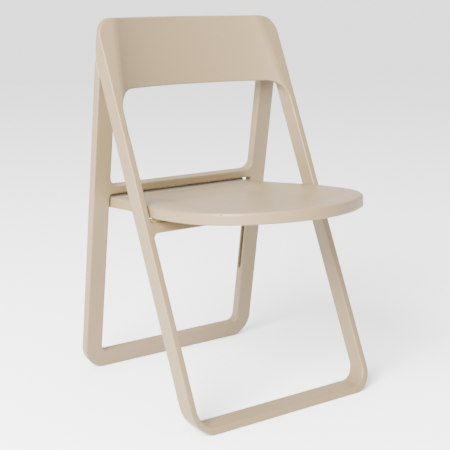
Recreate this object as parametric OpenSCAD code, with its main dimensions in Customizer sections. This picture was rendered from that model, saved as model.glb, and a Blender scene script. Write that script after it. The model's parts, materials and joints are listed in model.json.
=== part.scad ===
// Folding chair: a front frame with the backrest, a rear frame hinged behind it near the
// top, and a seat that pivots on the front frame and slides in the rear frame as it folds.
// +Z is up, the sitter faces -Y, and +X is the sitter's left.
// The origin is on the floor, in the middle of the chair's footprint.

/* [Overall size] */
// Width across the side members
overall_w = 462; // [440:1:480]
// Height of the backrest's top edge
overall_h = 793; // [770:1:800]
// Y of the front frame's front face at the floor
front_foot_y = -194.9; // [-199:0.1:-191]
// Y of the rear frame's back face at the floor
rear_foot_y = 288.5; // [286:0.1:291]
// How far the glides hold the frames off the floor
glide_proud = 0.5; // [0.5:0.5:2]

/* [Front frame] */
// Backward lean of the front frame, in degrees
front_lean = 24.93; // [24:0.01:26]
// Depth of the front frame, front to back, measured level
front_depth = 43.2; // [40:0.1:46]
// Thickness of the side walls
front_wall = 14.5; // [13:0.5:16]
// Height of the floor bar
front_bar_h = 14; // [12:0.5:16]
// Outer corner radius at the floor
front_foot_r = 48; // [40:1:55]
// Corner radius at the top
front_top_r = 39; // [30:1:45]
// Underside of the bar below the seat
support_z = 375; // [370:1:378]
// Height of the bar below the seat
support_h = 19.5; // [17:0.5:21]
// Depth of the bar below the seat, measured level
support_d = 14; // [12:1:15]

/* [Backrest] */
// Height of the backrest's bottom edge
back_low_z = 648.5; // [645:0.5:655]
// Inner radius of the backrest's hollow
back_r = 462; // [430:1:500]
// Thickness of the backrest
back_t = 12; // [9:0.5:14]
// Lean of the backrest, in degrees
back_lean = 20.3; // [19:0.1:21]
// Y of the backrest's front surface at the middle of its bottom edge
back_y = 157.1; // [156:0.1:158]
// Corner radius where the backrest's bottom edge meets the side walls
back_corner_r = 40; // [30:1:50]

/* [Rear frame] */
// Forward lean of the rear frame, in degrees
rear_lean = 8.66; // [8:0.01:9.5]
// Thickness of the rear frame
rear_t = 21.5; // [20.5:0.5:24]
// Width of each rear member
rear_member_w = 40.2; // [38:0.1:42]
// Height of the rear floor bar
rear_bar_h = 37; // [32:1:42]
// Outer corner radius at the floor
rear_foot_r = 52; // [45:1:60]
// Inner corner radius at the floor
rear_inner_r = 17; // [12:1:22]
// Lower edge of the bar behind the seat, along the frame
cross_low = 420.6; // [418:0.2:424]
// Height of the bar behind the seat
cross_h = 18.3; // [16:0.1:21]
// Corner radius above the bar behind the seat
cross_r = 21; // [15:1:25]

/* [Seat] */
// Height of the seat's rim at the middle of the chair
seat_z = 426.9; // [425:0.1:429]
// Slope of the seat, lower at the back, in degrees
seat_slope = 4.83; // [4:0.01:5.5]
// Widest half width of the seat
seat_half_w = 214.3; // [212:0.1:214.8]
// Half width of the seat between the rear members
seat_rear_half_w = 188; // [184:0.5:188.5]
// Where the seat is widest, along the seat
seat_wide_v = -28.7; // [-40:0.1:-20]
// Front end of the seat, along the seat
seat_front_v = -287.7; // [-291:0.1:-283]
// Rear edge of the seat, along the seat
seat_rear_v = 202.3; // [200:0.1:204]
// Height of the seat's rim
seat_rim_h = 23.6; // [20:0.1:26]
// Roundness of the seat's front outline: 2 is an ellipse, more is squarer
seat_power = 2.3; // [2.1:0.1:3]
// Depth of the dished middle
dish_d = 9; // [6:0.5:10]

/* [Joints] */
// Radius of every steel pin
pin_r = 4; // [3.5:0.5:4]
// Play between a pin and its bush
pin_play = 0.05; // [0.02:0.01:0.08]
// Wall of each bush
bush_wall = 1.5; // [1:0.5:2]
// Height of the seat pivot
pivot_z = 412; // [411:0.5:413]
// Distance of the seat pivot behind the front frame's front face, measured level
pivot_in = 20; // [18:0.5:22]
// Place of the sliding pin along the rear frame when the chair is open
slide_l = 398.3; // [396:0.1:400]
// Width of the slots in the rear frame
slot_w = 10; // [9.5:0.1:11]
// Lower end of the slots, along the rear frame
slot_low = 187; // [182:1:192]

/* [Hidden] */
$fn = 64;
left = 1;
right = -1;
big = 1000;
half_w = overall_w / 2;
front_inner = half_w - front_wall;
rear_inner = half_w - rear_member_w;

// Front frame: its faces as Y at a height.
function front_y(z) = front_foot_y + z * tan(front_lean);
function back_face_y(z) = front_y(z) + front_depth;

// Rear frame: its own axes start on its front face at the floor, Z along the members.
rear_face_y = rear_foot_y - rear_t / cos(rear_lean);

// Heights where the front frame's back and front faces meet the rear frame's back face.
ear_low_z = (rear_foot_y - back_face_y(0)) / (tan(front_lean) + tan(rear_lean));
ear_top_z = (rear_foot_y - front_y(0)) / (tan(front_lean) + tan(rear_lean));

// Frame hinge: a set distance inside each frame's facing surface, so that the frames fold
// flat against each other.
hinge_to_front = 12.8;
hinge_to_rear = 13.4;
hinge_a = back_face_y(0) * cos(front_lean) - hinge_to_front;
hinge_b = rear_face_y * cos(rear_lean) - hinge_to_rear;
hinge_sin = sin(front_lean + rear_lean);
hinge_y = (hinge_a * sin(rear_lean) + hinge_b * sin(front_lean)) / hinge_sin;
hinge_z = (hinge_b * cos(front_lean) - hinge_a * cos(rear_lean)) / hinge_sin;
fold_gap = hinge_to_rear - hinge_to_front;

// Seat pivot, and the sliding pin in the slot of the rear frame.
pivot_y = front_y(pivot_z) + pivot_in;
slot_back = 9;
slot_y = rear_t - slot_back;
slide_y = rear_face_y + slot_y * cos(rear_lean) - slide_l * sin(rear_lean);
slide_z = slot_y * sin(rear_lean) + slide_l * cos(rear_lean);

// Widths across a pivot, from the side wall inwards.
wall_depth = 10;
washer_t = 1.3;
side_gap = 0.4;
lug_outer = front_inner - washer_t - side_gap;
lug_w = 12;
lug_inner = lug_outer - lug_w;
head_t = 2;
head_r = 6.2;
washer_r = 8.5;
knuckle_r = 9.5;
recess_r = 11.5;
seat_boss_r = 9.5;
bush_r = pin_r + pin_play + bush_wall;

// Seat shell.
shell_t = 4.5;
rib_t = 3;
rib_low = -20;
dish_v = -35;
dish_half = 186;
dish_r = (pow(dish_half, 2) + pow(dish_d, 2)) / (2 * dish_d);
tongue_v = 233.8;
tongue_top = -1;
tongue_half_w = 187.3;
slide_pin_l = 28;
slot_depth = 12.5;
shoe_play = 0.4;
shoe_half_l = 4;

// Glides.
glide_r = 8;
glide_in = 3;
pocket_h = 1 + glide_proud + glide_in;
front_glide_x = 150;
rear_glide_x = 150;
front_glide_y = front_y(0) + front_depth / 2;
rear_glide_y = rear_foot_y - rear_t / cos(rear_lean) / 2;

frame_colour = [0.82, 0.76, 0.69];
seat_colour = [0.80, 0.74, 0.67];
steel_colour = [0.72, 0.72, 0.73];
nylon_colour = [0.88, 0.87, 0.82];
rubber_colour = [0.35, 0.33, 0.30];

// An outline in X and Z, made solid along Y.
module along_y(low, high)
  translate([0, high, 0]) rotate([90, 0, 0]) linear_extrude(high - low) children();

// An outline in Y and Z, made solid along X.
module along_x(low, high)
  translate([low, 0, 0]) rotate([90, 0, 90]) linear_extrude(high - low) children();

// A round bar along X, given its centre in Y and Z.
module round_x(low, high, y, z, r)
  translate([low, y, z]) rotate([0, 90, 0]) cylinder(r = r, h = high - low);

// The same thing on the left or on the right side.
module on_side(side)
  if (side == left) children(); else mirror([1, 0, 0]) children();

module both_sides() {
  children();
  mirror([1, 0, 0]) children();
}

// A rectangle centred on X with its own corner radius at the bottom and at the top.
module soft_rect(w, low, high, r_low, r_high) {
  translate([-w, low + r_low]) square([2 * w, high - low - r_low - r_high]);
  translate([-w + r_low, low]) square([2 * (w - r_low), r_low + 1]);
  translate([-w + r_high, high - r_high - 1]) square([2 * (w - r_high), r_high + 1]);
  for (s = [-1, 1]) {
    translate([s * (w - r_low), low + r_low]) circle(r_low);
    translate([s * (w - r_high), high - r_high]) circle(r_high);
  }
}

// ---- Front frame ----
foot_z = glide_proud;
foot_inner_z = foot_z + front_bar_h;
foot_inner_r = front_foot_r - front_wall;

module front_outline()
  soft_rect(half_w, foot_z, overall_h, front_foot_r, front_top_r);

// The opening above the bar below the seat, up to the backrest.
module sitting_opening()
  soft_rect(front_inner, support_z + support_h, back_low_z, 6, back_corner_r);

// The side walls and the floor bar, between the leaning front and back faces. Above the
// rear frame's end the back face follows the rear frame's back face to the top.
module side_walls() {
  intersection() {
    along_y(-big, big) difference() {
      front_outline();
      soft_rect(front_inner, foot_inner_z, overall_h + 100, foot_inner_r, 40);
    }
    along_x(-big, big) polygon([
      [front_y(0), 0],
      [back_face_y(0), 0],
      [back_face_y(ear_low_z), ear_low_z],
      [front_y(ear_top_z), ear_top_z]
    ]);
  }
}

module support_bar()
  intersection() {
    along_y(-big, big) difference() {
      soft_rect(front_inner + 1, support_z - 12, support_z + support_h + 1, 0.5, 0.5);
      soft_rect(front_inner, 100, support_z, 11, 11);
      sitting_opening();
    }
    behind_front(support_d);
  }

// A round-topped block on the bar, for the seat's rim to rest on.
module seat_rest() {
  rest_w = 30;
  rest_r = 4.5;
  post_half = 4;
  rest_y = front_y(support_z + support_h) + 9;
  rest_z = 397.8;
  round_x(front_inner - rest_w, front_inner + 1, rest_y, rest_z, rest_r);
  translate([front_inner - rest_w, rest_y - post_half, support_z + support_h - 1])
    cube([rest_w + 1, 2 * post_half, rest_z - support_z - support_h + 1]);
}

// The backrest's outline. Its thin lower tips are trimmed where they run into the walls.
module back_outline() {
  corner_trim = 6;
  intersection() {
    difference() {
      front_outline();
      sitting_opening();
    }
    translate([-front_inner - 1, back_low_z - back_corner_r + corner_trim])
      square([2 * front_inner + 2, overall_h]);
  }
}

// A leaning round bar whose front surface is the backrest's hollow.
module back_round(r)
  translate([0, back_y, back_low_z]) rotate([-back_lean, 0, 0])
    translate([0, -back_r, -200]) cylinder(r = r, h = 500, $fn = 128);

// The leaning space between the front frame's front face and a plane behind it.
module behind_front(depth)
  along_x(-big, big) polygon([
    [front_y(0), 0], [front_y(0) + depth, 0],
    [front_y(big) + depth, big], [front_y(big), big]
  ]);

// The hollowed panel, with a flat strip behind each end of the hollow.
module backrest() {
  strip_w = 40;
  strip_t = 11;
  difference() {
    intersection() {
      along_y(-big, big) back_outline();
      union() {
        intersection() {
          back_round(back_r + back_t);
          behind_front(200);
        }
        intersection() {
          behind_front(strip_t);
          both_sides() translate([front_inner + 1 - strip_w, 0, 0]) cube([strip_w, big, big]);
        }
      }
    }
    back_round(back_r);
  }
}

module front_frame() color(frame_colour)
  difference() {
    union() {
      side_walls();
      support_bar();
      both_sides() seat_rest();
      backrest();
    }
    both_sides() {
      // Blind holes for the two pins on this side.
      round_x(front_inner - 1, front_inner + wall_depth, hinge_y, hinge_z, pin_r);
      round_x(front_inner - 1, front_inner + wall_depth, pivot_y, pivot_z, pin_r);
      // Room for the rear frame's knuckle behind the backrest.
      round_x(lug_inner - head_t - 1, front_inner, hinge_y, hinge_z, recess_r);
      // Pocket for the glide.
      translate([front_glide_x, front_glide_y, -1]) cylinder(r = glide_r, h = pocket_h);
    }
  }

// ---- Rear frame ----
module in_rear()
  translate([0, rear_face_y, 0]) rotate([rear_lean, 0, 0]) children();

module rear_outline() {
  difference() {
    soft_rect(half_w, 0, 900, rear_foot_r, 1);
    soft_rect(rear_inner, glide_proud + rear_bar_h, cross_low, rear_inner_r, 6);
    soft_rect(rear_inner, cross_low + cross_h, 950, cross_r, 1);
  }
}

// The slot on the left side, in the member's inner face.
module slot()
  round_groove(slot_w / 2, slot_low, slide_l + shoe_half_l, rear_inner - 1, rear_inner + slot_depth);

// A round-ended groove or block along the rear frame between two places.
module round_groove(r, low, high, x_low, x_high) {
  translate([x_low, slot_y - r, low]) cube([x_high - x_low, 2 * r, high - low]);
  for (l = [low, high])
    translate([x_low, slot_y, l]) rotate([0, 90, 0]) cylinder(r = r, h = x_high - x_low);
}

// The knuckle and its neck, in the frame's own axes around the hinge.
module knuckle() {
  round_x(lug_inner, lug_outer, hinge_y, hinge_z, knuckle_r);
  translate([lug_inner, hinge_y, hinge_z]) rotate([rear_lean, 0, 0])
    translate([0, 0, -knuckle_r]) cube([lug_w, hinge_to_rear + 3, 2 * knuckle_r]);
}

module rear_frame() color(frame_colour)
  difference() {
    union() {
      // The members end on a plane just behind the front frame's back face.
      intersection() {
        in_rear() along_y(0, rear_t) rear_outline();
        along_x(-big, big) polygon([
          [back_face_y(glide_proud) + 1, glide_proud], [big, glide_proud], [big, big],
          [back_face_y(big) + fold_gap / cos(front_lean), big],
          [back_face_y(100) + fold_gap / cos(front_lean), 100]
        ]);
      }
      both_sides() knuckle();
    }
    both_sides() {
      round_x(lug_inner - 1, lug_outer + 1, hinge_y, hinge_z, bush_r);
      in_rear() slot();
      translate([rear_glide_x, rear_glide_y, -1]) cylinder(r = glide_r, h = pocket_h);
    }
  }

// ---- Seat ----
module in_seat()
  translate([0, 0, seat_z]) rotate([-seat_slope, 0, 0]) children();

// Half width of the seat at a place along it: a straight rear part, a soft swell to the
// widest place, and a rounded front.
swell_v = 151.3;
function seat_x(v) =
  v > swell_v ? seat_rear_half_w :
  v > seat_wide_v ?
    seat_rear_half_w + (seat_half_w - seat_rear_half_w)
      * (1 + cos(180 * (v - seat_wide_v) / (swell_v - seat_wide_v))) / 2 :
  seat_half_w * pow(max(0, 1 - pow((seat_wide_v - v) / (seat_wide_v - seat_front_v), seat_power)),
    1 / seat_power);

// One side of the outline from the rear edge to the front end, pulled in by an inset. The
// front part steps by angle, so that its points stay evenly spaced.
rear_steps = 14;
front_steps = 22;
function side_points(inset) = [
  for (i = [0 : rear_steps])
    let (v = seat_rear_v + (seat_wide_v - seat_rear_v) * i / rear_steps)
      [seat_x(v) - inset, min(v, seat_rear_v - inset)],
  for (i = [1 : front_steps])
    let (a = 90 * i / front_steps)
      [(seat_half_w - inset) * pow(cos(a), 2 / seat_power),
       seat_wide_v - (seat_wide_v - seat_front_v - inset) * pow(sin(a), 2 / seat_power)]
];

module seat_outline(inset) {
  p = side_points(inset);
  n = len(p);
  polygon(concat(p, [for (i = [1 : n - 1]) [-p[n - 1 - i][0], p[n - 1 - i][1]]]));
}

module dish(extra)
  translate([0, dish_v, dish_r - dish_d]) sphere(r = dish_r + extra, $fn = 200);

module ribs() {
  rib_gap = 62;
  for (x = [-2 : 2])
    translate([x * rib_gap - rib_t / 2, seat_front_v, rib_low]) cube([rib_t, 600, 40]);
  for (v = [-205, -120, -35, 50, 135])
    translate([-big / 2, v - rib_t / 2, rib_low]) cube([big, rib_t, 40]);
}

module seat_shell()
  difference() {
    translate([0, 0, -seat_rim_h]) linear_extrude(seat_rim_h) seat_outline(0);
    dish(0);
    difference() {
      translate([0, 0, -seat_rim_h - 1]) linear_extrude(seat_rim_h + 1 - shell_t)
        seat_outline(shell_t);
      dish(shell_t);
      ribs();
    }
  }

// The bar along the seat's rear edge that passes under the rear frame's bar.
module seat_tongue() {
  tongue_h = seat_rim_h + tongue_top;
  tongue_v0 = seat_rear_v - shell_t;
  hollow_half = tongue_half_w - slide_pin_l - 4;
  difference() {
    translate([-tongue_half_w, tongue_v0, -seat_rim_h])
      cube([2 * tongue_half_w, tongue_v - tongue_v0, tongue_h]);
    translate([-hollow_half, tongue_v0 + shell_t, -seat_rim_h - 1])
      cube([2 * hollow_half, tongue_v - tongue_v0 - 2 * shell_t, tongue_h + 1 - shell_t]);
  }
}

// The boss inside the rim that holds the pivot bush.
module seat_boss() {
  round_x(lug_inner, lug_outer, pivot_y, pivot_z, seat_boss_r);
  translate([lug_inner, pivot_y - seat_boss_r, pivot_z])
    cube([lug_w, 2 * seat_boss_r, seat_boss_r]);
}

module seat() color(seat_colour)
  difference() {
    union() {
      in_seat() {
        seat_shell();
        seat_tongue();
      }
      both_sides() seat_boss();
    }
    both_sides() {
      round_x(lug_inner - 1, lug_outer + 1, pivot_y, pivot_z, bush_r);
      round_x(tongue_half_w - slide_pin_l, tongue_half_w + 1, slide_y, slide_z, pin_r);
    }
  }

// ---- Pins, bushes, washers, shoes and glides, drawn for the left side ----
module wall_pin(y, z) {
  round_x(lug_inner - side_gap, front_inner + wall_depth, y, z, pin_r);
  round_x(lug_inner - side_gap - head_t, lug_inner - side_gap, y, z, head_r);
}

module ring_x(low, high, y, z, r_out, r_in)
  difference() {
    round_x(low, high, y, z, r_out);
    round_x(low - 1, high + 1, y, z, r_in);
  }

module hinge_pin(side) color(steel_colour) on_side(side) wall_pin(hinge_y, hinge_z);

module seat_pin(side) color(steel_colour) on_side(side) wall_pin(pivot_y, pivot_z);

module hinge_bush(side) color(nylon_colour) on_side(side)
  ring_x(lug_inner, lug_outer, hinge_y, hinge_z, bush_r, pin_r + pin_play);

module seat_bush(side) color(nylon_colour) on_side(side)
  ring_x(lug_inner, lug_outer, pivot_y, pivot_z, bush_r, pin_r + pin_play);

module hinge_washer(side) color(nylon_colour) on_side(side)
  ring_x(front_inner - washer_t, front_inner, hinge_y, hinge_z, washer_r, pin_r);

module seat_washer(side) color(nylon_colour) on_side(side)
  ring_x(front_inner - washer_t, front_inner, pivot_y, pivot_z, washer_r, pin_r);

module slide_pin(side) color(steel_colour) on_side(side)
  round_x(tongue_half_w - slide_pin_l, tongue_half_w, slide_y, slide_z, pin_r);

// A round-ended block in the slot, with a socket for the sliding pin.
module slide_shoe(side) color(nylon_colour) on_side(side) {
  shoe_out = rear_inner + slot_depth - shoe_play;
  difference() {
    in_rear() round_groove(slot_w / 2 - shoe_play, slide_l - shoe_half_l, slide_l + shoe_half_l,
      rear_inner + shoe_play, shoe_out);
    round_x(rear_inner - 1, shoe_out - 3, slide_y, slide_z, pin_r);
  }
}

module front_glide(side) color(rubber_colour) on_side(side)
  translate([front_glide_x, front_glide_y, 0]) cylinder(r = glide_r, h = glide_proud + glide_in);

module rear_glide(side) color(rubber_colour) on_side(side)
  translate([rear_glide_x, rear_glide_y, 0]) cylinder(r = glide_r, h = glide_proud + glide_in);

front_frame();
rear_frame();
seat();
hinge_pin(left);  // hinge_pin_left
hinge_pin(right);  // hinge_pin_right
hinge_bush(left);  // hinge_bush_left
hinge_bush(right);  // hinge_bush_right
hinge_washer(left);  // hinge_washer_left
hinge_washer(right);  // hinge_washer_right
seat_pin(left);  // seat_pin_left
seat_pin(right);  // seat_pin_right
seat_bush(left);  // seat_bush_left
seat_bush(right);  // seat_bush_right
seat_washer(left);  // seat_washer_left
seat_washer(right);  // seat_washer_right
slide_pin(left);  // slide_pin_left
slide_pin(right);  // slide_pin_right
slide_shoe(left);  // slide_shoe_left
slide_shoe(right);  // slide_shoe_right
front_glide(left);  // front_glide_left
front_glide(right);  // front_glide_right
rear_glide(left);  // rear_glide_left
rear_glide(right);  // rear_glide_right
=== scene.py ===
# Folding chair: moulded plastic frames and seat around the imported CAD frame.
import json
from itertools import product
from math import radians, sin, cos, tan

import bpy
import numpy as np
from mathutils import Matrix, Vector


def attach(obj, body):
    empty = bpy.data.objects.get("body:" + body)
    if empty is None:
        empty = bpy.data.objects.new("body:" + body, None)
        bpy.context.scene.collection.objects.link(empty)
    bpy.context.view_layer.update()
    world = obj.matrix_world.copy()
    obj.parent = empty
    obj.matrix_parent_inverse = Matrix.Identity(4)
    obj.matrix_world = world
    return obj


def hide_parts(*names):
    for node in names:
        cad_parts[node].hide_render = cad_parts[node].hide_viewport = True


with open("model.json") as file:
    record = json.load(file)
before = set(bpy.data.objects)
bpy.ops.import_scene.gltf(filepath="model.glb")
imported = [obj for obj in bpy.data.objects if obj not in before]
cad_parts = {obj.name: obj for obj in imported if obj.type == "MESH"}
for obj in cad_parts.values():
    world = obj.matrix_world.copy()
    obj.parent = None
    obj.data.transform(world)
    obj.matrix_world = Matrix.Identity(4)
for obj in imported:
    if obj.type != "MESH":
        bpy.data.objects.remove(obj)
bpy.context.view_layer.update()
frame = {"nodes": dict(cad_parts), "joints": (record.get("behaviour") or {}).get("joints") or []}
cadNodes = frame["nodes"]
jointAt = {joint["name"]: joint.get("pos_m") for joint in frame["joints"]}


# Camera, floor and light
studio = {
    "cameraAt": (-1.2397, -1.7158, 0.8483),
    "lookAt": (0.0, 0.0387, 0.3526),
    "lens": 81.52,
    "lensShift": (-0.00111, 0.00111),
    "sensorWidth": 36.0,
    "farthestSeen": 50.0,
    "floorSize": 14.0,
    "floorColor": (0.93, 0.93, 0.925),
    "floorRoughness": 0.9,
    "worldColor": (1.0, 1.0, 1.0),
    "worldStrength": 2.1,
    "lightsAimAt": (0.0, 0.0, 0.42),
    "keyPower": 1150.0,
    "keySize": 2.6,
    "keyAt": (-3.2, -1.4, 2.6),
    "fillPower": 10.0,
    "fillSize": 3.5,
    "fillAt": (1.6, -3.6, 2.2),
    "topPower": 30.0,
    "topSize": 3.0,
    "topAt": (0.2, 0.6, 3.4),
}


def aimed(thing, place, target):
    thing.location = place
    thing.rotation_euler = (Vector(target) - Vector(place)).to_track_quat("-Z", "Y").to_euler()
    bpy.context.scene.collection.objects.link(thing)
    return thing


def makeCamera():
    lensData = bpy.data.cameras.new("chairCamera")
    lensData.lens = studio["lens"]
    lensData.sensor_width = studio["sensorWidth"]
    lensData.clip_end = studio["farthestSeen"]
    lensData.shift_x, lensData.shift_y = studio["lensShift"]
    camera = bpy.data.objects.new("chairCamera", lensData)
    bpy.context.scene.camera = aimed(camera, studio["cameraAt"], studio["lookAt"])


def makeSoftLight(name):
    lightData = bpy.data.lights.new(name + "Light", "AREA")
    lightData.shape = "DISK"
    lightData.energy = studio[name + "Power"]
    lightData.size = studio[name + "Size"]
    light = bpy.data.objects.new(name + "Light", lightData)
    aimed(light, studio[name + "At"], studio["lightsAimAt"])


def makeWorld():
    world = bpy.data.worlds.new("studioWorld")
    world.use_nodes = True
    background = world.node_tree.nodes["Background"]
    background.inputs["Color"].default_value = (*studio["worldColor"], 1.0)
    background.inputs["Strength"].default_value = studio["worldStrength"]
    bpy.context.scene.world = world


def makeFloor():
    half = studio["floorSize"] / 2
    mesh = bpy.data.meshes.new("studioFloor")
    corners = [(-half, -half, 0), (half, -half, 0), (half, half, 0), (-half, half, 0)]
    mesh.from_pydata(corners, [], [(0, 1, 2, 3)])
    floor = bpy.data.objects.new("studioFloor", mesh)
    bpy.context.scene.collection.objects.link(floor)
    paint = bpy.data.materials.new("floorPaint")
    paint.use_nodes = True
    shader = paint.node_tree.nodes["Principled BSDF"]
    shader.inputs["Base Color"].default_value = (*studio["floorColor"], 1.0)
    shader.inputs["Roughness"].default_value = studio["floorRoughness"]
    mesh.materials.append(paint)


makeCamera()
makeWorld()
makeFloor()
for lightName in ("key", "fill", "top"):
    makeSoftLight(lightName)
print("studio ready")


# Shapes as signed distances: negative inside, in metres
# What is inside both, with its outside edge rounded.
def roundMeet(a, b, radius):
    past = np.hypot(np.maximum(a + radius, 0), np.maximum(b + radius, 0))
    return np.minimum(-radius, np.maximum(a, b)) + past


# What is inside a and outside b, with its outside edge rounded.
def roundCut(a, b, radius):
    return roundMeet(a, -b, radius)


# What is inside either, with the inside corner filled.
def softJoin(a, b, radius):
    short = np.hypot(np.maximum(radius - a, 0), np.maximum(radius - b, 0))
    return np.maximum(radius, np.minimum(a, b)) - short


def roundedBox2d(a, b, halfA, lowB, highB, lowCorner, highCorner):
    middle = (lowB + highB) / 2
    corner = np.where(b > middle, highCorner, lowCorner)
    awayA = np.abs(a) - halfA + corner
    awayB = np.abs(b - middle) - (highB - lowB) / 2 + corner
    past = np.hypot(np.maximum(awayA, 0), np.maximum(awayB, 0))
    return past + np.minimum(np.maximum(awayA, awayB), 0) - corner


def between(value, low, high):
    return np.maximum(low - value, value - high)


# Turns a distance field into a mesh of even quads that lies on the field's surface.
# Grid places are mapped to the chair's own frame by place().
meshing = {
    "cell": 0.0024,
    "projectionSteps": 4,
    "probe": 0.0002,
    "wearDepth": 0.0045,
    "slab": 24,
    "leastSteepness": 0.2,
}


def slopeOf(field, points):
    slopes = []
    for axis in range(3):
        step = np.zeros(3)
        step[axis] = meshing["probe"]
        ahead = field(*(points + step).T)
        behind = field(*(points - step).T)
        slopes.append((ahead - behind) / (2 * meshing["probe"]))
    return np.stack(slopes, 1)


# One point in each mixed cell: the middle of the places where its edges cross the surface.
def netVertices(values, cells, low, cell):
    total = np.zeros((len(cells), 3))
    found = np.zeros(len(cells))
    for axis in range(3):
        others = [a for a in range(3) if a != axis]
        for first, second in product((0, 1), repeat=2):
            start = np.zeros(3, int)
            start[others[0]], start[others[1]] = first, second
            end = start.copy()
            end[axis] = 1
            a = values[tuple((cells + start).T)]
            b = values[tuple((cells + end).T)]
            crossing = (a < 0) != (b < 0)
            part = np.where(crossing, a / np.where(crossing, a - b, 1), 0)
            spot = cells + start + part[:, None] * (end - start)
            total += np.where(crossing[:, None], spot, 0)
            found += crossing
    return low + cell * total / found[:, None]


# A quad round each grid edge that crosses the surface, facing outwards.
def netQuads(inside, number):
    quads = []
    for axis in range(3):
        b, c = (axis + 1) % 3, (axis + 2) % 3
        here = np.moveaxis(inside, (axis, b, c), (0, 1, 2))
        cellNumber = np.moveaxis(number, (axis, b, c), (0, 1, 2))
        start, end = here[:-1, 1:-1, 1:-1], here[1:, 1:-1, 1:-1]
        ring = np.stack([cellNumber[:, :-1, :-1], cellNumber[:, 1:, :-1],
                         cellNumber[:, 1:, 1:], cellNumber[:, :-1, 1:]], -1)
        quads.append(ring[start & ~end])
        quads.append(ring[~start & end][:, ::-1])
    return np.concatenate(quads)


# Edge wear: how much sooner the surface comes to an end below an edge than below a flat.
def addWear(mesh, field, points):
    outward = slopeOf(field, points)
    outward /= np.maximum(np.linalg.norm(outward, axis=1), 1e-6)[:, None]
    depth = meshing["wearDepth"]
    below = field(*(points - depth * outward).T)
    wear = np.clip((below + depth) / depth, 0, 1)
    mesh.attributes.new("wear", "FLOAT", "POINT").data.foreach_set("value", wear.astype(np.float32))


def mouldFrom(name, field, low, high, place):
    cell = meshing["cell"]
    low, high = np.array(low, float), np.array(high, float)
    counts = np.ceil((high - low) / cell).astype(int) + 1
    axes = [low[i] + cell * np.arange(counts[i]) for i in range(3)]
    grid = np.meshgrid(*axes, indexing="ij", sparse=True)
    values = np.empty(counts)
    slab = meshing["slab"]
    for first in range(0, counts[0], slab):
        piece = [grid[0][first:first + slab], grid[1], grid[2]]
        spread = np.broadcast_arrays(*piece)
        values[first:first + slab] = field(*place(*spread))
    inside = values < 0
    corners = [inside[i:counts[0] - 1 + i, j:counts[1] - 1 + j, k:counts[2] - 1 + k]
               for i, j, k in product((0, 1), repeat=3)]
    mixed = np.logical_or.reduce(corners) & ~np.logical_and.reduce(corners)
    cells = np.argwhere(mixed)
    number = np.full(mixed.shape, -1)
    number[mixed] = np.arange(len(cells))
    points = np.stack(place(*netVertices(values, cells, low, cell).T), 1)
    for _ in range(meshing["projectionSteps"]):
        slope = slopeOf(field, points)
        steepness = np.maximum((slope ** 2).sum(1), meshing["leastSteepness"])
        move = field(*points.T)[:, None] * slope / steepness[:, None]
        points -= np.clip(move, -cell / 2, cell / 2)
    quads = netQuads(inside, number)
    mesh = bpy.data.meshes.new(name)
    mesh.from_pydata(points.tolist(), [], quads.tolist())
    mesh.shade_smooth()
    addWear(mesh, field, points)
    thing = bpy.data.objects.new(name, mesh)
    bpy.context.scene.collection.objects.link(thing)
    print(name, "has", len(quads), "faces")
    return thing


def roundBar(u, v, centreU, centreV, radius):
    return np.hypot(u - centreU, v - centreV) - radius


# Front frame: side walls, floor bar, bar below the seat and hollowed backrest, one moulding
front = {
    "halfWidth": 0.231,
    "wall": 0.0145,
    "top": 0.793,
    "low": 0.0005,
    "lean": radians(24.93),
    "footY": -0.1949,
    "depth": 0.0432,
    "footCorner": 0.048,
    "topCorner": 0.039,
    "barHeight": 0.014,
    "supportLow": 0.375,
    "supportHigh": 0.3945,
    "supportDepth": 0.014,
    "supportCorner": 0.011,
    "sittingLowCorner": 0.006,
    "wallOpeningTop": 1.2,
    "wallOpeningCorner": 0.02,
    "backLow": 0.6495,
    "openingCorner": 0.040,
    "hollowHalf": 0.240,
    "hollowDeep": 0.0945,
    "hollowY": 0.1571,
    "hollowLean": radians(20.3),
    "hollowEnd": 0.560,
    "hollowLimit": 0.97,
    "backThickness": 0.012,
    "panelBlend": 0.02,
    "stripThickness": 0.011,
    "stripChange": 0.5,
    "edgeRadius": 0.0018,
    "creaseRadius": 0.004,
    "earBend": 0.012,
    "tipRadius": 0.0035,
    "kneeRoom": 0.0115,
    "kneeGap": 0.003,
    "kneeEdge": 0.0008,
    "restInner": 0.1865,
    "restRadius": 0.0045,
    "restY": -0.0025,
    "restZ": 0.3978,
    "restSink": 0.003,
    "restIntoWall": 0.002,
    "restPostShare": 0.95,
    "restBlend": 0.0005,
    "restEdge": 0.001,
    "gridLow": (-0.2345, -0.0045, -0.0035),
    "gridHigh": (0.2345, 0.0790, 0.7975),
}

# Rear frame: two members, floor bar and the bar behind the seat, one moulding
rear = {
    "halfWidth": 0.231,
    "innerHalf": 0.1908,
    "lean": radians(8.66),
    "footY": 0.2885,
    "thickness": 0.0215,
    "low": 0.0005,
    "barHigh": 0.0375,
    "footCorner": 0.052,
    "innerCorner": 0.017,
    "crossLow": 0.4206,
    "crossHigh": 0.4389,
    "crossCorner": 0.021,
    "lowerCorner": 0.006,
    "outlineTop": 0.95,
    "openingTop": 1.1,
    "pastTopCorner": 0.02,
    "footEdge": 0.0015,
    "edgeRadius": 0.0018,
    "topGap": 0.00066,
    "topEdge": 0.0012,
    "slotBehind": 0.0125,
    "slotHalf": 0.005,
    "slotLow": 0.187,
    "slotHigh": 0.4023,
    "slotDepth": 0.0125,
    "slotFrom": 0.15,
    "slotEdge": 0.0006,
    "knuckleRadius": 0.0095,
    "knuckleInner": 0.2028,
    "knuckleOuter": 0.2148,
    "knuckleEdge": 0.0008,
    "neckInto": 0.004,
    "gridLow": (-0.2345, -0.0260, -0.0060),
    "gridHigh": (0.2345, 0.0250, 0.7420),
}


def frontFaceY(z):
    return front["footY"] + z * tan(front["lean"])


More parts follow.
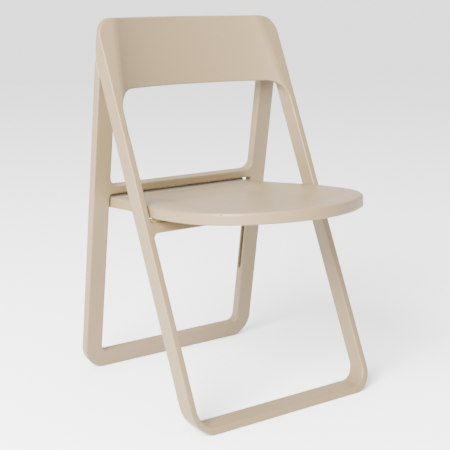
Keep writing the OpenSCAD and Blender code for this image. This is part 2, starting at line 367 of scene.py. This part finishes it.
# The rear frame's own depth and length, from its front face at the floor.
def inRear(y, z):
    faceY = rear["footY"] - rear["thickness"] / cos(rear["lean"])
    depth = (y - faceY) * cos(rear["lean"]) + z * sin(rear["lean"])
    length = z * cos(rear["lean"]) - (y - faceY) * sin(rear["lean"])
    return depth, length


def outOfRear(depth, length):
    faceY = rear["footY"] - rear["thickness"] / cos(rear["lean"])
    y = faceY + depth * cos(rear["lean"]) - length * sin(rear["lean"])
    z = depth * sin(rear["lean"]) + length * cos(rear["lean"])
    return y, z


# How far a place is behind the backrest's hollowed front surface.
def hollowDepth(x, y, z):
    f = front
    back = (y - f["hollowY"]) * cos(f["hollowLean"]) - (z - f["backLow"]) * sin(f["hollowLean"])
    across = np.minimum(np.abs(x) / f["hollowHalf"], f["hollowLimit"])
    rise = np.sqrt(1 - across ** 2)
    steepness = f["hollowDeep"] / f["hollowHalf"] * across / rise
    return (back + f["hollowDeep"] * (1 - rise)) / np.hypot(1, steepness)


def frontFrameField(x, y, z):
    f = front
    edge = f["edgeRadius"]
    inner = f["halfWidth"] - f["wall"]
    level = frontFaceY(z)
    ahead = (level - y) * cos(f["lean"])
    behind = (y - level - f["depth"]) * cos(f["lean"])
    pastRear = inRear(y, z)[0] - rear["thickness"]
    barTop = f["low"] + f["barHeight"]
    lowCorner = f["footCorner"] - f["wall"]
    outline = roundedBox2d(x, z, f["halfWidth"], f["low"], f["top"], f["footCorner"], f["topCorner"])
    legOpening = roundedBox2d(x, z, inner, barTop, f["supportLow"], lowCorner, f["supportCorner"])
    sittingOpening = roundedBox2d(x, z, inner, f["supportHigh"], f["backLow"],
                                  f["sittingLowCorner"], f["openingCorner"])
    wallOpening = roundedBox2d(x, z, inner, barTop, f["wallOpeningTop"],
                               lowCorner, f["wallOpeningCorner"])
    # The face that shows from the front, down to the hollow of the backrest.
    faceOutline = np.maximum(outline, -np.minimum(legOpening, sittingOpening))
    hollow = hollowDepth(x, y, z)
    inHollowZone = z > f["hollowEnd"]
    crease = roundMeet(ahead, -hollow, f["creaseRadius"])
    faceFront = np.where(inHollowZone, crease, ahead)
    stripDepth = np.where(z > f["stripChange"], f["stripThickness"], f["supportDepth"])
    stripBack = (y - level - stripDepth) * cos(f["lean"])
    panelBack = softJoin(stripBack, hollow - f["backThickness"], f["panelBlend"])
    faceBack = np.where(inHollowZone, panelBack, stripBack)
    face = roundMeet(faceOutline, np.maximum(faceFront, faceBack), edge)
    # The full-depth walls and floor bar.
    slab = roundMeet(faceFront, roundMeet(behind, pastRear, f["earBend"]), f["tipRadius"])
    walls = roundMeet(np.maximum(outline, -wallOpening), slab, edge)
    solid = np.minimum(face, walls)
    side = np.abs(x)
    rest = roundBar(y, z, f["restY"], f["restZ"], f["restRadius"])
    post = np.maximum(between(z, f["supportHigh"] - f["restSink"], f["restZ"]),
                      np.abs(y - f["restY"]) - f["restRadius"] * f["restPostShare"])
    restReach = between(side, f["restInner"], inner + f["restIntoWall"])
    rest = roundMeet(softJoin(rest, post, f["restBlend"]), restReach, f["restEdge"])
    solid = np.minimum(solid, rest)
    hingeY, hingeZ = jointAt["frame_fold"][1:]
    room = np.maximum(roundBar(y, z, hingeY, hingeZ, f["kneeRoom"]),
                      between(side, rear["knuckleInner"] - f["kneeGap"], inner))
    return roundCut(solid, room, f["kneeEdge"])


def makeFrontFrame():
    lean = tan(front["lean"])
    sheared = lambda x, back, z: (x, back + front["footY"] + z * lean, z)
    thing = mouldFrom("frontFrameMoulding", frontFrameField, front["gridLow"], front["gridHigh"], sheared)
    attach(thing, "front_frame")
    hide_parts("front_frame")
    return thing


def rearFrameField(x, y, z):
    r = rear
    depth, length = inRear(y, z)
    outline = roundedBox2d(x, length, r["halfWidth"], 0.0, r["outlineTop"],
                           r["footCorner"], r["pastTopCorner"])
    lowOpening = roundedBox2d(x, length, r["innerHalf"], r["barHigh"], r["crossLow"],
                              r["innerCorner"], r["lowerCorner"])
    highOpening = roundedBox2d(x, length, r["innerHalf"], r["crossHigh"], r["openingTop"],
                               r["crossCorner"], r["pastTopCorner"])
    plate = np.maximum(outline, -np.minimum(lowOpening, highOpening))
    solid = roundMeet(plate, between(depth, 0.0, r["thickness"]), r["edgeRadius"])
    overFront = (y - frontFaceY(z) - front["depth"] - r["topGap"]) * cos(front["lean"])
    solid = roundMeet(solid, -overFront, r["topEdge"])
    solid = roundMeet(solid, r["low"] - z, r["footEdge"])
    side = np.abs(x)
    hingeY, hingeZ = jointAt["frame_fold"][1:]
    hingeDepth, hingeLength = inRear(hingeY, hingeZ)
    knuckle = roundBar(depth, length, hingeDepth, hingeLength, r["knuckleRadius"])
    neck = np.maximum(np.abs(length - hingeLength) - r["knuckleRadius"],
                      between(depth, hingeDepth, r["neckInto"]))
    knuckle = roundMeet(np.minimum(knuckle, neck),
                        between(side, r["knuckleInner"], r["knuckleOuter"]), r["knuckleEdge"])
    solid = np.minimum(solid, knuckle)
    run = np.clip(length, r["slotLow"], r["slotHigh"])
    slot = np.hypot(depth - r["slotBehind"], length - run) - r["slotHalf"]
    slotReach = between(side, r["slotFrom"], r["innerHalf"] + r["slotDepth"])
    return roundCut(solid, roundMeet(slot, slotReach, r["slotEdge"]), r["slotEdge"])


def makeRearFrame():
    leaned = lambda x, depth, length: (x, *outOfRear(depth, length))
    thing = mouldFrom("rearFrameMoulding", rearFrameField, rear["gridLow"], rear["gridHigh"], leaned)
    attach(thing, "rear_frame")
    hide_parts("rear_frame")
    return thing


# Seat: rimmed and dished shell with ribs below and a tongue at the back
seat = {
    "height": 0.4269,
    "slope": radians(4.83),
    "halfWidth": 0.2143,
    "rearHalf": 0.188,
    "wideV": -0.0287,
    "frontV": -0.2877,
    "rearV": 0.2023,
    "swellV": 0.1513,
    "rimHeight": 0.0236,
    "sideCurve": 0.75,
    "frontCurve": 2.6,
    "frontCorner": 0.035,
    "rearCorner": 0.010,
    "dishDepth": 0.009,
    "dishRim": 0.020,
    "dishReach": 0.085,
    "shell": 0.0045,
    "topEdge": 0.0055,
    "lowEdge": 0.0015,
    "pocketCorner": 0.002,
    "pocketEdge": 0.0008,
    "ribThickness": 0.0036,
    "ribLow": -0.020,
    "ribEdge": 0.001,
    "ribGap": 0.062,
    "ribsEachSide": 2,
    "ribPlaces": (-0.205, -0.120, -0.035, 0.050, 0.135),
    "tongueV": 0.2338,
    "tongueTop": -0.001,
    "tongueOverlap": 0.006,
    "tongueEdge": 0.002,
    "tongueEnds": 0.032,
    "lipHeight": 0.005,
    "lipThickness": 0.003,
    "tongueHalf": 0.1873,
    "bossRadius": 0.0095,
    "gridLow": (-0.2185, -0.2925, -0.0275),
    "gridHigh": (0.2185, 0.2385, 0.0035),
}


def inSeat(y, z):
    along = y * cos(seat["slope"]) - (z - seat["height"]) * sin(seat["slope"])
    up = y * sin(seat["slope"]) + (z - seat["height"]) * cos(seat["slope"])
    return along, up


def outOfSeat(along, up):
    y = along * cos(seat["slope"]) + up * sin(seat["slope"])
    z = seat["height"] - along * sin(seat["slope"]) + up * cos(seat["slope"])
    return y, z


def seatOutline(x, along):
    s = seat
    side = np.abs(x)
    part = np.clip((along - s["wideV"]) / (s["swellV"] - s["wideV"]), 0, 1)
    reach = s["halfWidth"] - s["rearHalf"]
    half = s["rearHalf"] + reach * (1 + np.cos(np.pi * part)) / 2
    tilt = reach * np.pi / 2 / (s["swellV"] - s["wideV"]) * np.sin(np.pi * part)
    sideWall = (side - half) / np.hypot(1, tilt)
    rearPart = roundMeet(sideWall, along - s["rearV"], s["rearCorner"])
    forward = np.maximum(s["wideV"] - along, 0)
    sideFront = side - s["halfWidth"] + s["sideCurve"] * forward ** 2
    sideFront = sideFront / np.hypot(1, 2 * s["sideCurve"] * forward)
    frontArc = s["frontV"] + s["frontCurve"] * x ** 2 - along
    frontArc = frontArc / np.hypot(1, 2 * s["frontCurve"] * x)
    frontPart = roundMeet(sideFront, frontArc, s["frontCorner"])
    return np.where(along < s["wideV"], frontPart, rearPart)


def seatTop(outline):
    s = seat
    part = np.clip((-outline - s["dishRim"]) / s["dishReach"], 0, 1)
    return -s["dishDepth"] * part * part * (3 - 2 * part)


# The tongue behind the seat, hollow from below, with a lip along its rear edge.
def tongueField(side, along, up):
    s = seat
    tongue = np.maximum(side - s["tongueHalf"],
                        between(along, s["rearV"] - s["tongueOverlap"], s["tongueV"]))
    tongue = roundMeet(tongue, between(up, -s["rimHeight"], s["tongueTop"]), s["tongueEdge"])
    hollow = np.maximum(side - s["tongueHalf"] + s["tongueEnds"],
                        between(along, s["rearV"], s["tongueV"] - s["shell"]))
    tongue = roundCut(tongue, np.maximum(hollow, up - s["tongueTop"] + s["shell"]), s["pocketEdge"])
    lipBottom = s["tongueTop"] - s["lipThickness"]
    lipTop = s["tongueTop"] + s["lipHeight"]
    lip = np.maximum(between(along, s["tongueV"] - s["lipThickness"], s["tongueV"]),
                     between(up, lipBottom, lipTop))
    return np.minimum(tongue, np.maximum(lip, side - s["tongueHalf"]))


# The lug that turns on the seat's pin.
def lugField(side, y, z):
    s = seat
    pivotY, pivotZ = jointAt["seat_fold"][1:]
    block = np.maximum(np.abs(y - pivotY) - s["bossRadius"],
                       between(z, pivotZ, pivotZ + s["bossRadius"]))
    boss = np.minimum(roundBar(y, z, pivotY, pivotZ, s["bossRadius"]), block)
    return np.maximum(boss, between(side, rear["knuckleInner"], rear["knuckleOuter"]))


def seatField(x, y, z):
    s = seat
    along, up = inSeat(y, z)
    outline = seatOutline(x, along)
    top = seatTop(outline)
    solid = roundMeet(outline, up - top, s["topEdge"])
    solid = roundMeet(solid, -s["rimHeight"] - up, s["lowEdge"])
    pocket = roundMeet(outline + s["shell"], up - top + s["shell"], s["pocketCorner"])
    nearestRib = np.clip(np.round(x / s["ribGap"]), -s["ribsEachSide"], s["ribsEachSide"])
    ribs = np.abs(x - s["ribGap"] * nearestRib) - s["ribThickness"] / 2
    for place in s["ribPlaces"]:
        ribs = np.minimum(ribs, np.abs(along - place) - s["ribThickness"] / 2)
    ribs = roundMeet(ribs, s["ribLow"] - up, s["ribEdge"])
    pocket = roundCut(pocket, ribs, s["ribEdge"])
    solid = roundCut(solid, pocket, s["pocketEdge"])
    side = np.abs(x)
    solid = np.minimum(solid, tongueField(side, along, up))
    return np.minimum(solid, lugField(side, y, z))


def makeSeat():
    sloped = lambda x, along, up: (x, *outOfSeat(along, up))
    thing = mouldFrom("seatMoulding", seatField, seat["gridLow"], seat["gridHigh"], sloped)
    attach(thing, "seat")
    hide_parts("seat")
    return thing


frontFrame = makeFrontFrame()
rearFrame = makeRearFrame()
seatShell = makeSeat()
print("mouldings ready")


# Finishes
plastic = {
    "color": (0.152, 0.1065, 0.052),
    "worn": (0.164, 0.116, 0.058),
    "variation": 0.03,
    "cloudScale": 7.0,
    "scuffScale": 60.0,
    "scuffShare": (0.2, 0.8),
    "roughness": (0.39, 0.51),
    "smearScale": 22.0,
    "grainScale": 900.0,
    "grainHeight": 0.00003,
}

steel = {
    "dark": (0.50, 0.50, 0.51),
    "light": (0.66, 0.66, 0.67),
    "roughness": (0.24, 0.42),
    "lineScale": 400.0,
    "lineHeight": 0.00002,
}

glideRubber = {
    "color": (0.10, 0.095, 0.085),
    "roughness": 0.75,
    "grainScale": 500.0,
}

nylon = {
    "color": (0.72, 0.69, 0.62),
    "roughness": 0.45,
    "grainScale": 300.0,
}

polymer = {
    "variation": 0.08,
    "roughnessSpread": 0.06,
    "grainHeight": 0.00003,
}


def newMaterial(name):
    material = bpy.data.materials.new(name)
    material.use_nodes = True
    tree = material.node_tree
    return material, tree, tree.nodes["Principled BSDF"]


def addNoise(tree, scale, detail):
    coordinates = tree.nodes.new("ShaderNodeTexCoord")
    noise = tree.nodes.new("ShaderNodeTexNoise")
    noise.inputs["Scale"].default_value = scale
    noise.inputs["Detail"].default_value = detail
    tree.links.new(coordinates.outputs["Object"], noise.inputs["Vector"])
    return noise


def addRange(tree, source, low, high):
    fitted = tree.nodes.new("ShaderNodeMapRange")
    fitted.inputs["To Min"].default_value = low
    fitted.inputs["To Max"].default_value = high
    tree.links.new(source, fitted.inputs["Value"])
    return fitted.outputs["Result"]


def addMix(tree, factor, first, second):
    mix = tree.nodes.new("ShaderNodeMix")
    mix.data_type = "RGBA"
    tree.links.new(factor, mix.inputs["Factor"])
    for socket, source in (("A", first), ("B", second)):
        target = next(i for i in mix.inputs if i.name == socket and i.type == "RGBA")
        if isinstance(source, tuple):
            target.default_value = (*source, 1.0)
        else:
            tree.links.new(source, target)
    return next(o for o in mix.outputs if o.type == "RGBA")


def shaded(color, amount):
    return tuple(max(0.0, part * (1 + amount)) for part in color)


def addBump(tree, shader, height, distance):
    bump = tree.nodes.new("ShaderNodeBump")
    bump.inputs["Distance"].default_value = distance
    bump.inputs["Strength"].default_value = 1.0
    tree.links.new(height, bump.inputs["Height"])
    tree.links.new(bump.outputs["Normal"], shader.inputs["Normal"])


def mouldedPlastic():
    material, tree, shader = newMaterial("mouldedTaupePlastic")
    p = plastic
    clouds = addNoise(tree, p["cloudScale"], 3.0)
    darker, lighter = shaded(p["color"], -p["variation"]), shaded(p["color"], p["variation"])
    base = addMix(tree, clouds.outputs["Fac"], darker, lighter)
    wear = tree.nodes.new("ShaderNodeAttribute")
    wear.attribute_name = "wear"
    scuffs = addNoise(tree, p["scuffScale"], 4.0)
    worn = tree.nodes.new("ShaderNodeMath")
    worn.operation = "MULTIPLY"
    tree.links.new(wear.outputs["Fac"], worn.inputs[0])
    tree.links.new(addRange(tree, scuffs.outputs["Fac"], *p["scuffShare"]), worn.inputs[1])
    color = addMix(tree, worn.outputs["Value"], base, p["worn"])
    tree.links.new(color, shader.inputs["Base Color"])
    smear = addNoise(tree, p["smearScale"], 5.0)
    rough = addRange(tree, smear.outputs["Fac"], *p["roughness"])
    tree.links.new(rough, shader.inputs["Roughness"])
    grain = addNoise(tree, p["grainScale"], 2.0)
    addBump(tree, shader, grain.outputs["Fac"], p["grainHeight"])
    return material


def turnedSteel():
    material, tree, shader = newMaterial("turnedSteel")
    shader.inputs["Metallic"].default_value = 1.0
    lines = addNoise(tree, steel["lineScale"], 3.0)
    color = addMix(tree, lines.outputs["Fac"], steel["dark"], steel["light"])
    tree.links.new(color, shader.inputs["Base Color"])
    tree.links.new(addRange(tree, lines.outputs["Fac"], *steel["roughness"]), shader.inputs["Roughness"])
    addBump(tree, shader, lines.outputs["Fac"], steel["lineHeight"])
    return material


def plainPolymer(name, kind):
    material, tree, shader = newMaterial(name)
    grain = addNoise(tree, kind["grainScale"], 3.0)
    darker = shaded(kind["color"], -polymer["variation"])
    lighter = shaded(kind["color"], polymer["variation"])
    mixed = addMix(tree, grain.outputs["Fac"], darker, lighter)
    tree.links.new(mixed, shader.inputs["Base Color"])
    smoothest = kind["roughness"] - polymer["roughnessSpread"]
    roughest = kind["roughness"] + polymer["roughnessSpread"]
    rough = addRange(tree, grain.outputs["Fac"], smoothest, roughest)
    tree.links.new(rough, shader.inputs["Roughness"])
    addBump(tree, shader, grain.outputs["Fac"], polymer["grainHeight"])
    return material


taupe = mouldedPlastic()
for moulding in (frontFrame, rearFrame, seatShell):
    moulding.data.materials.append(taupe)
smallFinishes = {
    "pin": turnedSteel(),
    "glide": plainPolymer("darkGlideRubber", glideRubber),
    "bush": plainPolymer("naturalNylon", nylon),
}
smallFinishes["washer"] = smallFinishes["bush"]
smallFinishes["shoe"] = smallFinishes["bush"]
for nodeName, node in cadNodes.items():
    for word, finish in smallFinishes.items():
        if word in nodeName:
            node.data.materials.clear()
            node.data.materials.append(finish)
print("finishes ready")
